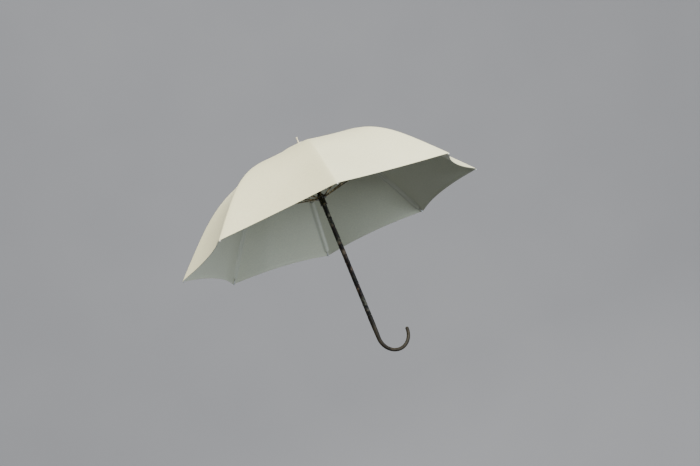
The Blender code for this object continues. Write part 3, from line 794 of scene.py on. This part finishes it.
def cut(mesh, material, cutters):
    """The mesh with other objects taken out of it; they are removed."""
    obj = bpy.data.objects.new("cut", mesh)
    bpy.context.scene.collection.objects.link(obj)
    mesh.materials.clear()
    mesh.materials.append(material)
    for cutter in cutters:
        modifier = obj.modifiers.new("cut", "BOOLEAN")
        modifier.operation = "DIFFERENCE"
        modifier.object = cutter
    graph = bpy.context.evaluated_depsgraph_get()
    graph.update()
    made = bpy.data.meshes.new_from_object(obj.evaluated_get(graph))
    for used in [obj, *cutters]:
        bpy.data.objects.remove(used)
    return made


def box_object(low, high):
    """A plain box to cut with."""
    work = bmesh.new()
    bmesh.ops.create_cube(work, size=1)
    low, high = Vector(low), Vector(high)
    bmesh.ops.transform(work, matrix=Matrix.Diagonal((*(high - low), 1)), verts=work.verts)
    bmesh.ops.translate(work, vec=(low + high) / 2, verts=work.verts)
    mesh = bpy.data.meshes.new("box")
    work.to_mesh(mesh)
    work.free()
    obj = bpy.data.objects.new("box", mesh)
    bpy.context.scene.collection.objects.link(obj)
    return obj


CATCH_ROOM = 0.0003
POCKET_BACK_Y = -0.0030


def pocket(node_name):
    """The room round a catch, open towards +Y."""
    low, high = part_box(node_name)
    room = Vector((CATCH_ROOM, 0, 2 * CATCH_ROOM))
    low, high = low - room, high + room
    low.y, high.y = POCKET_BACK_Y, 2 * STICK_RADIUS
    return box_object(low, high)


def build_stick():
    pockets = [pocket("top_catch"), pocket("bottom_catch")]
    bark = new_object("bark_stick", cut(stick_mesh(), BARK, pockets), BARK)
    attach(bark, "stick")
    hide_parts("stick")
    crook = new_object("cane_crook", crook_mesh(), BENT_CANE)
    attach(crook, "stick")
    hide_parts("crook_handle")


# Wire frame and small parts


def smooth_copy(node_name, name, material):
    """A CAD node's shape, welded and shaded smooth, in place of the node."""
    source = NODES[node_name]
    mesh = source.data.copy()
    if "custom_normal" in mesh.attributes:
        mesh.attributes.remove(mesh.attributes["custom_normal"])
    work = bmesh.new()
    work.from_mesh(mesh)
    bmesh.ops.remove_doubles(work, verts=work.verts, dist=CAD_WELD)
    bmesh.ops.dissolve_limit(work, angle_limit=CAD_FLAT, verts=work.verts, edges=work.edges)
    bmesh.ops.recalc_face_normals(work, faces=work.faces)
    work.to_mesh(mesh)
    work.free()
    mesh.shade_smooth()
    mesh.set_sharp_from_angle(angle=CAD_SHARP)
    piece = new_object(name, mesh, material)
    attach(piece, source["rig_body"])
    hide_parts(node_name)


def build_frame():
    for number in range(1, RIBS + 1):
        smooth_copy(f"rib_{number}", f"rib_wire_{number}", RIB_PAINT)
        smooth_copy(f"rib_tip_{number}", f"ball_tip_{number}", TIP_WHITE)
        smooth_copy(f"stretcher_{number}", f"stretcher_wire_{number}", FRAME_PAINT)
    smooth_copy("runner", "runner_tube", HUB_PAINT)
    smooth_copy("top_notch", "notch_crown", HUB_PAINT)
    smooth_copy("runner_wire", "runner_ring", STEEL)
    smooth_copy("notch_wire", "notch_ring", STEEL)
    smooth_copy("stop_pin", "stop_pin_bar", STEEL)
    smooth_copy("top_catch", "top_spring", STEEL)
    smooth_copy("bottom_catch", "bottom_spring", STEEL)
    smooth_copy("crown_washer", "washer", STEEL)
    smooth_copy("ferrule", "ferrule_pin", FERRULE_IVORY)
    smooth_copy("crown_cap", "crown_patch", CLOTH_MATERIAL)
    smooth_copy("handle_dowel", "dowel", BARK)


# Stage, lights and camera

CAMERA_PLACE = Vector((-1.404, -2.540, -0.2965))
CAMERA_AIM = Vector((0.0304, -0.0175, 0.2535))
CAMERA_ROLL = 22.43
CAMERA_LENS = 57.6
FLOOR_Z = CAD_BOX[0].z - 2.2
FLOOR_RADIUS = 5.0
WALL_RADIUS = 2.5  # of the curve between the floor and the wall
WALL_HEIGHT = 16.0
STAGE_SIDES = 72
STAGE_CURVE_STEPS = 12
LIT_MIDDLE = Vector((0, 0, 0.4))
WASHES = 6  # suns round the stage, for the stage alone


def stage_material():
    made, tree, shader = shader_material("backdrop", 0.9)
    place = coordinates(tree)
    clouds = noise_value(tree, place, 1.2, 2.0, 0.5)
    colour = ramp(tree, clouds, (0.2, (0.170, 0.178, 0.200)), (0.8, (0.182, 0.190, 0.212)))
    tree.links.new(colour, shader.inputs["Base Color"])
    return made


def build_stage():
    """A round floor that sweeps up into a wall; it neither shades nor lights the umbrella."""
    profile = [(FLOOR_RADIUS * k / 6, FLOOR_Z) for k in range(1, 7)]
    for k in range(1, STAGE_CURVE_STEPS + 1):
        angle = math.pi / 2 * k / STAGE_CURVE_STEPS
        radius = FLOOR_RADIUS + WALL_RADIUS * math.sin(angle)
        profile.append((radius, FLOOR_Z + WALL_RADIUS * (1 - math.cos(angle))))
    profile.append((FLOOR_RADIUS + WALL_RADIUS, FLOOR_Z + WALL_HEIGHT))
    vertices = [(0, 0, FLOOR_Z)]
    for radius, z in profile:
        for k in range(STAGE_SIDES):
            angle = 2 * math.pi * k / STAGE_SIDES
            vertices.append((radius * math.cos(angle), radius * math.sin(angle), z))
    faces = [(0, 1 + k, 1 + (k + 1) % STAGE_SIDES) for k in range(STAGE_SIDES)]
    rings = ring_faces(len(profile), STAGE_SIDES)
    faces += [tuple(i + 1 for i in face) for face in rings]
    mesh = mesh_from(vertices, faces)
    floor = bpy.data.objects.new("studio_floor", mesh)
    bpy.context.scene.collection.objects.link(floor)
    mesh.materials.append(stage_material())
    floor.visible_shadow = False
    floor.visible_diffuse = False
    return floor


def new_light(name, kind, power, colour, aim, objects):
    """A light that points along aim and falls on these objects alone."""
    data = bpy.data.lights.new(name, kind)
    data.energy = power
    data.color = colour
    light = bpy.data.objects.new(name, data)
    bpy.context.scene.collection.objects.link(light)
    light.rotation_euler = aim.to_track_quat("-Z", "Y").to_euler()
    receivers = bpy.data.collections.new(f"{name}_lights")
    for obj in objects:
        receivers.objects.link(obj)
    light.light_linking.receiver_collection = receivers
    return light


def area_light(name, place, size, power, colour, objects):
    """A soft square light that looks at the umbrella's middle."""
    light = new_light(name, "AREA", power, colour, LIT_MIDDLE - Vector(place), objects)
    light.data.shape = "SQUARE"
    light.data.size = size
    light.location = place


def sun_light(name, azimuth, elevation, spread, strength, colour, objects):
    """Parallel soft light from this azimuth and elevation; spread is its angle across."""
    turn, rise = math.radians(azimuth), math.radians(elevation)
    level = math.cos(rise)
    source = Vector((level * math.cos(turn), level * math.sin(turn), math.sin(rise)))
    light = new_light(name, "SUN", strength, colour, -source, objects)
    light.data.angle = math.radians(spread)


def build_lights(floor):
    pieces = [obj for obj in bpy.data.objects if obj.type == "MESH" and obj != floor]
    world = bpy.data.worlds.new("studio")
    world.use_nodes = True
    background = world.node_tree.nodes["Background"]
    background.inputs["Color"].default_value = (0.78, 0.88, 1.0, 1)
    background.inputs["Strength"].default_value = 0.15
    bpy.context.scene.world = world
    sun_light("key", 258, 40, 12, 7.9, (1.0, 0.955, 0.76), pieces)
    area_light("fill", (1.0, -2.7, 0.0), 1.2, 62, (0.74, 0.85, 1.0), pieces)
    area_light("back", (1.7, 2.9, 1.1), 2.0, 32, (1.0, 0.98, 0.93), pieces)
    for k in range(WASHES):
        sun_light(f"wash_{k}", 1 + 360 * k / WASHES, 18, 20, 3.1, (1.0, 0.97, 0.90), [floor])


def build_camera():
    data = bpy.data.cameras.new("camera")
    data.lens = CAMERA_LENS
    data.sensor_width = 36.0
    data.clip_start = 0.05
    data.clip_end = 50.0
    camera = bpy.data.objects.new("camera", data)
    bpy.context.scene.collection.objects.link(camera)
    look = (CAMERA_AIM - CAMERA_PLACE).to_track_quat("-Z", "Y").to_matrix().to_4x4()
    roll = Matrix.Rotation(math.radians(-CAMERA_ROLL), 4, "Z")
    camera.matrix_world = Matrix.Translation(CAMERA_PLACE) @ look @ roll
    bpy.context.scene.camera = camera


build_camera()
build_canopy()
build_stick()
build_frame()
build_lights(build_stage())
